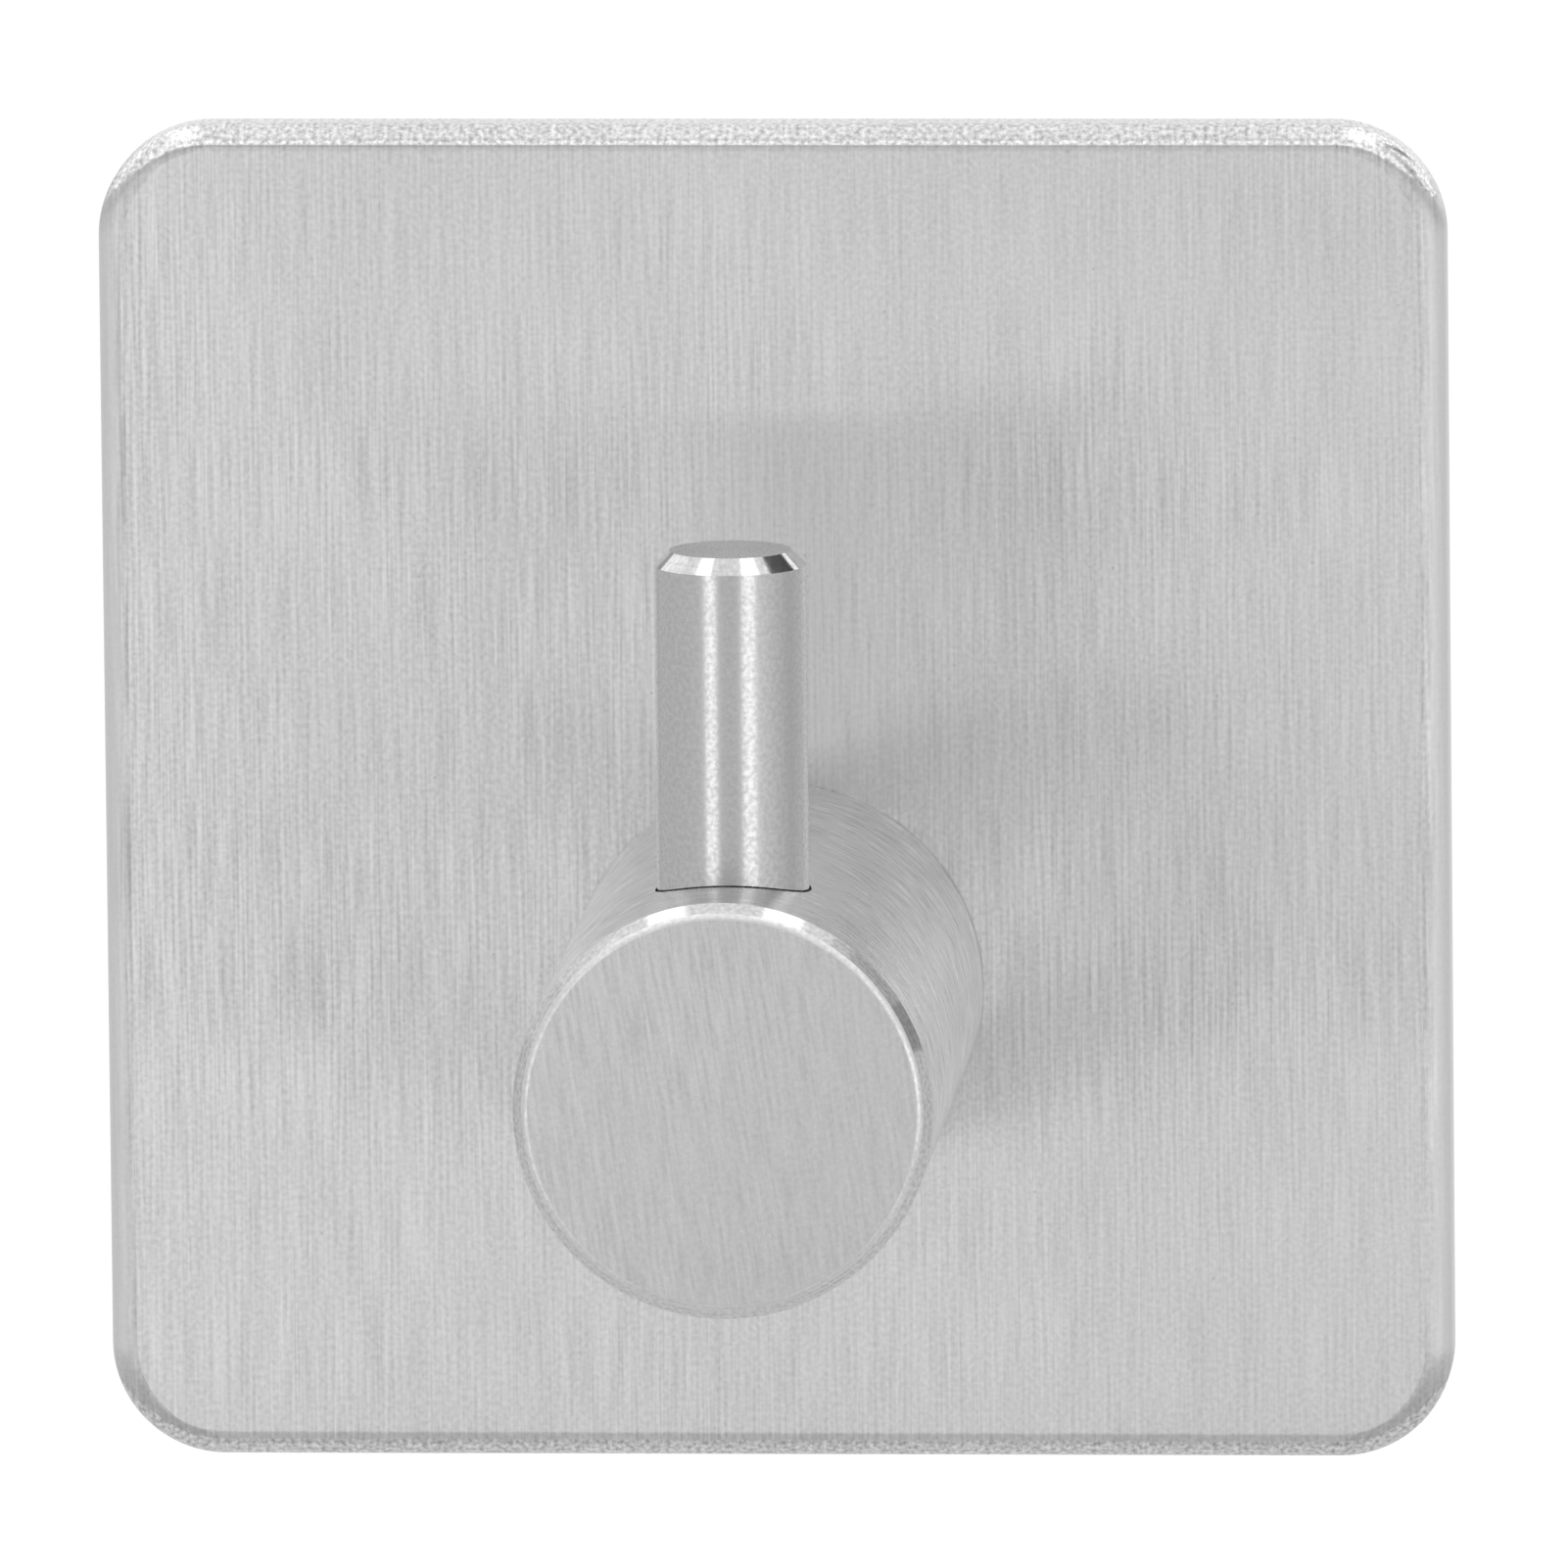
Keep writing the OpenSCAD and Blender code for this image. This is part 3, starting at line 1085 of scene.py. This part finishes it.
shrink = add(
    washer_tree,
    "ShaderNodeMath",
    {0: given["Root radius"], 1: given["Tip radius"]},
    operation="DIVIDE",
)
spot = add(washer_tree, "GeometryNodeInputPosition")
stepped_in = add(washer_tree, "ShaderNodeVectorMath", {0: spot, "Scale": shrink}, operation="SCALE")
toothed = add(
    washer_tree,
    "GeometryNodeSetPosition",
    {"Geometry": circle, "Selection": in_gap, "Position": stepped_in},
)
lower = add(washer_tree, "ShaderNodeCombineXYZ", {"Y": given["Hole height"]})
outline = add(washer_tree, "GeometryNodeTransform", {"Geometry": toothed, "Translation": lower})
faces, line_ends = sheet_faces(washer_tree, given, outline)
line = add(washer_tree, "GeometryNodeCurvePrimitiveLine", {"Start": line_ends[0], "End": line_ends[1]})
rim = add(washer_tree, "GeometryNodeCurveToMesh", {"Curve": outline, "Profile Curve": line})
end_tree(washer_tree, [rim, *faces], given["Finish"])
print("nodes of the washer's tree:", len(washer_tree.nodes))

# %% Washer
washer_teeth = 8
tooth_length = 1.0 * MM
tooth_gap = 1.0 * MM
washer_hole_radius = 2.2 * MM
tooth_steps = 24
tooth_pitch = 2 * math.pi * washer_radius / washer_teeth
washer = grow(
    "toothed_lock_washer",
    washer_tree,
    {
        "Teeth": washer_teeth,
        "Tooth steps": tooth_steps,
        "Gap steps": round(tooth_steps * tooth_gap / tooth_pitch),
        "Tip radius": washer_radius,
        "Root radius": washer_radius - tooth_length,
        "Front": -washer_low.y,
        "Back": -washer_high.y,
        "Hole radius": washer_hole_radius,
        "Hole height": peg_height,
        "Hole steps": hole_steps,
        "Finish": spring_steel,
    },
    ON_WALL,
)
lay_grain(washer, screw_grain)
hand_in(washer, "lock_washer")

# %% [markdown]
# ## The tape
# The tape has three layers: a core of closed-cell foam between two skins of acrylic adhesive. It is
# die-cut from a roll, so the knife leaves the edges a little hollow. Boxes would have straight edges,
# so the pan's tree makes each layer, with a hollow line as its section. Foam and adhesive have no
# grain, so their patterns stay in the piece's own coordinates, in all directions.

# %% Foam and adhesive
cell_size = 0.22 * MM
cell_relief = 0.04 * MM
ripple_size = 1.6 * MM
ripple_relief = 0.01 * MM


def tape_material(name, tones, pattern, size, roughness, relief):
    """A soft material. The pattern node gives its tone, its roughness and its relief."""
    material = bpy.data.materials.new(name)
    material.use_nodes = True
    tree = material.node_tree
    shader = tree.nodes["Principled BSDF"]
    place = add(tree, "ShaderNodeTexCoord")
    texture = add(tree, pattern, {"Vector": place.outputs["Object"], "Scale": 1 / size})
    tone = add(
        tree,
        "ShaderNodeMix",
        {"Factor": texture, 6: linear(tones[0]), 7: linear(tones[1])},
        data_type="RGBA",
    )
    bump = add(tree, "ShaderNodeBump", {"Height": texture, "Strength": 1.0, "Distance": relief})
    rough = add(
        tree,
        "ShaderNodeMapRange",
        {"Value": texture, "To Min": roughness, "To Max": roughness * (1 + roughness_swing)},
    )
    tree.links.new(tone.outputs[2], shader.inputs["Base Color"])
    tree.links.new(rough.outputs[0], shader.inputs["Roughness"])
    tree.links.new(bump.outputs[0], shader.inputs["Normal"])
    return material


# Charcoal foam: small cells that are dark in the middle, with paler walls where they meet.
closed_cell_foam = tape_material(
    "closed_cell_foam",
    ("#3a3b3e", "#5c5d60"),
    "ShaderNodeTexVoronoi",
    cell_size,
    roughness=0.8,
    relief=cell_relief,
)
# A pale, tacky skin with the slow ripple of the coating.
acrylic_adhesive = tape_material(
    "acrylic_adhesive",
    ("#c2c1bb", "#dad9d3"),
    "ShaderNodeTexNoise",
    ripple_size,
    roughness=0.22,
    relief=ripple_relief,
)
print(f"materials of the tape: {closed_cell_foam.name} and {acrylic_adhesive.name}")

# %% Tape layers
tape_corner_radius = 2.5 * MM
tape_hole_radius = 4.75 * MM
foam_waist = 0.06 * MM
glue_waist = 0.03 * MM
edge_steps = 6


def tape_layer(name, node, waist, finish):
    """One layer of the tape. Its cut edge curves inwards by the waist."""
    low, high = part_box(node)
    front, back = -low.y, -high.y
    points = []
    for step in range(edge_steps + 1):
        share = step / edge_steps
        points.append((-waist * math.sin(math.pi * share), front + (back - front) * share))
    layer = grow(
        name,
        sheet_tree,
        {
            "Section": section(name + "_edge", points),
            "Side": high.x - low.x,
            "Corner radius": tape_corner_radius,
            "Corner steps": corner_steps,
            "Front": front,
            "Back": back,
            "Hole radius": tape_hole_radius,
            "Hole height": peg_height,
            "Hole steps": hole_steps,
            "Finish": finish,
        },
        ON_WALL,
    )
    hand_in(layer, node)
    return layer


tape_layer("plate_side_skin", "plate_adhesive", glue_waist, acrylic_adhesive)
foam = tape_layer("foam_tape_core", "foam_core", foam_waist, closed_cell_foam)
tape_layer("wall_side_skin", "wall_adhesive", glue_waist, acrylic_adhesive)

# %% [markdown]
# ## Studio
# Bright metal shows its surroundings, so the light is laid out as what the steel should mirror. Two
# upright softboxes in front make the two streaks on the pin, two long overhead panels make the bright
# patches on the chamfers, and a wide, weak one fills in. Lights alone would leave the metal evenly
# pale between them, so walls, trays and flags on cards give it paler and darker things to mirror. A
# pale world fills the rest, and the floor keeps the shadow.

# %% World and floor
room_tone = "#e6e6e6"
scene = bpy.context.scene
scene.view_settings.view_transform = "Standard"
world = bpy.data.worlds.new("pale_room")
world.use_nodes = True
world.node_tree.nodes["Background"].inputs["Color"].default_value = linear(room_tone)
scene.world = world

floor_tone = "#bcbcbc"
floor_drop = 200 * MM
floor_size = 12.0
floor_height = plate_low.z - floor_drop
# Glow that camera, glossy and transmission rays see, so that the floor shows white and keeps its shadow.
floor_lift = 0.60


def new_paint(name):
    """An empty stage material, its tree and the socket that its shader goes to."""
    paint = bpy.data.materials.new(name)
    paint.use_nodes = True
    paint.node_tree.nodes.remove(paint.node_tree.nodes["Principled BSDF"])
    return paint, paint.node_tree, paint.node_tree.nodes["Material Output"].inputs["Surface"]


floor_paint, tree, surface = new_paint("white_floor")
rays = add(tree, "ShaderNodeLightPath")
shown = add(
    tree,
    "ShaderNodeMath",
    {0: rays.outputs["Is Camera Ray"], 1: rays.outputs["Is Glossy Ray"]},
    operation="MAXIMUM",
)
shown = add(tree, "ShaderNodeMath", {0: shown, 1: rays.outputs["Is Transmission Ray"]}, operation="MAXIMUM")
lift = add(tree, "ShaderNodeMath", {0: shown, 1: floor_lift}, operation="MULTIPLY")
glow = add(tree, "ShaderNodeEmission", {"Strength": lift})
matt = add(tree, "ShaderNodeBsdfDiffuse", {"Color": linear(floor_tone)})
mixed = add(tree, "ShaderNodeAddShader", {0: matt, 1: glow})
tree.links.new(mixed.outputs[0], surface)
bpy.ops.mesh.primitive_plane_add(size=floor_size, location=(0, 0, floor_height))
floor = bpy.context.object
floor.name = "floor"
floor.data.materials.append(floor_paint)
print(f"floor {floor_drop / MM:.0f} mm under the plate")

# %% Softboxes
hook_middle = Vector((0, -pin_out, 0))
strip_distance = 0.4
panel_height = 0.5
panel_front, panel_back = -0.3, 0.8


def direction(azimuth, elevation):
    """A unit vector. Azimuth 0 is straight out from the wall and grows to the right."""
    a, e = math.radians(azimuth), math.radians(elevation)
    return Vector((math.sin(a) * math.cos(e), -math.cos(a) * math.cos(e), math.sin(e)))


def softbox(name, centre, across, along, radiance):
    """A soft light of an even brightness that faces the hook. across and along are its sides."""
    lamp = bpy.data.lights.new(name, "AREA")
    lamp.shape = "RECTANGLE"
    lamp.size = across.length
    lamp.size_y = along.length
    lamp.energy = radiance * math.pi * lamp.size * lamp.size_y
    holder = bpy.data.objects.new(name, lamp)
    facing = across.cross(along).normalized()
    if facing.dot(hook_middle - centre) > 0:
        facing = -facing
    side = across.normalized()
    turn = Matrix((side, facing.cross(side), facing)).transposed().to_4x4()
    holder.matrix_world = Matrix.Translation(centre) @ turn
    scene.collection.objects.link(holder)
    print(f"{name}: {lamp.size / MM:.0f} by {lamp.size_y / MM:.0f} mm, {lamp.energy:.2f} W")


def upright(name, azimuth, width_angle, low, high, radiance):
    """A softbox that stands on edge in front of the hook, from one height to another."""
    away = direction(azimuth, 0)
    width = 2 * strip_distance * math.tan(math.radians(width_angle / 2))
    centre = hook_middle + away * strip_distance
    centre.z = (low + high) / 2
    across = Vector((0, 0, 1)).cross(away) * width
    softbox(name, centre, across, Vector((0, 0, high - low)), radiance)


def overhead(name, left, right, radiance):
    """A flat panel above the hook, between two angles from straight up."""
    edges = [panel_height * math.tan(math.radians(angle)) for angle in (left, right)]
    centre = hook_middle + Vector(((edges[0] + edges[1]) / 2, (panel_front + panel_back) / 2, panel_height))
    across = Vector((edges[1] - edges[0], 0, 0))
    softbox(name, centre, across, Vector((0, panel_back - panel_front, 0)), radiance)


upright("front_left_strip", azimuth=-27, width_angle=18, low=-0.16, high=0.14, radiance=1.0)
upright("front_right_strip", azimuth=31, width_angle=21, low=-0.13, high=0.24, radiance=1.05)
overhead("overhead_left", left=-28, right=-16, radiance=1.5)
overhead("overhead_right", left=10.5, right=23.5, radiance=1.5)
overhead("overhead_fill", left=-40, right=35, radiance=0.3)

# %% Cards
card_steps = 16


def card(name, azimuths, elevations, radiances, distance, slope=0):
    """A card on a sphere round the hook that only reflections see.

    Its brightness goes from one value to another across it, and slope is how far it rises there.
    """
    corners, faces, tones = [], [], []
    for row in range(card_steps + 1):
        elevation = elevations[0] + (elevations[1] - elevations[0]) * row / card_steps
        for column in range(card_steps + 1):
            share = column / card_steps
            azimuth = azimuths[0] + (azimuths[1] - azimuths[0]) * share
            corners.append(hook_middle + direction(azimuth, elevation + slope * share) * distance)
            tones.append(radiances[0] + (radiances[1] - radiances[0]) * share)
    for row in range(card_steps):
        for column in range(card_steps):
            first = row * (card_steps + 1) + column
            faces.append((first, first + 1, first + card_steps + 2, first + card_steps + 1))
    mesh = bpy.data.meshes.new(name)
    mesh.from_pydata(corners, [], faces)
    mesh.attributes.new("radiance", "FLOAT", "POINT").data.foreach_set("value", tones)
    paint, tree, surface = new_paint(name)
    radiance = add(tree, "ShaderNodeAttribute", attribute_name="radiance")
    glow = add(tree, "ShaderNodeEmission", {"Strength": radiance.outputs["Fac"]})
    tree.links.new(glow.outputs[0], surface)
    mesh.materials.append(paint)
    holder = bpy.data.objects.new(name, mesh)
    for sight in ("camera", "diffuse", "transmission", "shadow", "volume_scatter"):
        setattr(holder, "visible_" + sight, False)
    scene.collection.objects.link(holder)


# %% What the steel mirrors
# Flags stand a little in front of the walls, and the front tray a little over the round one.
card_gap = 0.01
wall_distance = 0.45
flag_distance = wall_distance - card_gap
tray_distance = 0.2
# Each card has its azimuths and elevations in degrees, its brightness at both ends and its distance.
card("front_wall", (-36, 42), (-26, 4), (0.76, 0.76), wall_distance)
card("front_shade", (-36, 42), (4, 30), (0.62, 0.62), wall_distance)
card("front_tray", (-40, 40), (-75, -26), (0.66, 0.66), tray_distance)
card("left_front_wall", (-36, -100), (-26, 20), (0.80, 0.72), wall_distance)
card("left_back_wall", (-100, -165), (-26, 20), (0.72, 0.68), wall_distance)
card("right_front_wall", (42, 104), (-26, 9), (1.05, 0.60), wall_distance)
card("right_back_wall", (104, 165), (-26, 9), (0.60, 0.85), wall_distance)
card("upper_front", (-78, 66), (30, 50), (1.35, 1.35), wall_distance)
card("low_left_shade", (-78, -95), (10, 28), (0.86, 0.86), flag_distance)
card("high_left_shade", (-78, -95), (28, 52), (0.95, 0.95), flag_distance)
card("upper_left", (-95, -165), (10, 50), (1.27, 1.27), wall_distance)
card("back_wall", (165, 195), (-26, 40), (1.0, 1.0), wall_distance)
card("tray", (-180, 180), (-90, -20), (0.77, 0.77), tray_distance + card_gap)
card("low_grey_flag", (70, 94), (9, 25), (0.40, 0.40), flag_distance)
card("high_grey_flag", (70, 94), (25, 46), (0.58, 0.58), flag_distance)
card("dark_flag", (109, 141), (50, 62), (0.02, 0.05), flag_distance, slope=-25)
card("back_glow", (95, 165), (9, 60), (1.4, 1.4), wall_distance)
print(f"cards from {tray_distance} to {wall_distance} m away")

# %% [markdown]
# ## Camera
# The camera looks from a little above and to the right through a long lens, as the photograph's
# nearly parallel edges show. It leans by half a degree, which keeps the plate's top edge level.

# %% Camera
camera_azimuth = 4.15
camera_elevation = 9.0
camera_lean = 0.57
camera_distance = 1.2
pixels_per_mm = 30.60
image_pixels = 1601
aim_right = 0.30 * MM
aim_up = 0.35 * MM
aim = Vector((aim_right, -plate_front, aim_up))
lens = bpy.data.cameras.new("camera")
lens.lens = pixels_per_mm / MM * camera_distance * lens.sensor_width / image_pixels
camera = bpy.data.objects.new("camera", lens)
towards = direction(camera_azimuth, camera_elevation)
turn = towards.to_track_quat("Z", "Y").to_matrix().to_4x4()
lean = Matrix.Rotation(math.radians(-camera_lean), 4, "Z")
camera.matrix_world = Matrix.Translation(aim + towards * camera_distance) @ turn @ lean
scene.collection.objects.link(camera)
scene.camera = camera
print(f"lens {lens.lens:.0f} mm at {camera_distance} m")
